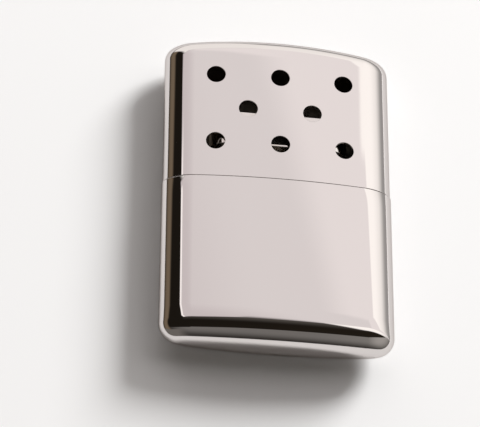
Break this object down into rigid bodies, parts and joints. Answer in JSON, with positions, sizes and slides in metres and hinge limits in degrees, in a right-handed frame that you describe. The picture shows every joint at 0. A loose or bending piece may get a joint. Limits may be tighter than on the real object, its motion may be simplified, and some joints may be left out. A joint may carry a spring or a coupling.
{
  "type": "catalytic hand warmer",
  "caption": "Pocket catalytic hand warmer: a drawn fuel tank with a vented lift-off lid over a burner on its filler neck.",
  "frame": {"origin": "under the middle of the warmer, on the surface that it lies on", "axes": "+X across the width, +Y from the foot of the tank to the crown of the lid, +Z out of the front face"},
  "size_m": [0.0666, 0.0984, 0.0155],
  "materials": {
    "chromed_shell": "polished",
    "nickelled_brass": "satin",
    "felt": "matte",
    "cotton": "matte",
    "glass_fibre": "matte"
  },
  "bodies": {
    "tank": {"case_shell": "chromed_shell", "shoulder_plate": "nickelled_brass", "filler_neck": "nickelled_brass", "mouth_felt": "felt", "wadding_front": "cotton", "wadding_middle": "cotton", "wadding_back": "cotton"},
    "lid": {"lid_shell": "chromed_shell"},
    "burner": {"burner_skirt": "nickelled_brass", "vapour_plate": "nickelled_brass", "catalyst_mat": "glass_fibre", "burner_housing": "nickelled_brass", "burner_grille": "nickelled_brass"}
  },
  "joints": [
    {"name": "lid_slide", "type": "slide", "parent": "tank", "child": "lid", "axis": [0, 1, 0], "range_m": [0, 0.045]},
    {"name": "burner_slide", "type": "slide", "parent": "tank", "child": "burner", "axis": [0, 1, 0], "range_m": [0, 0.014]}
  ]
}
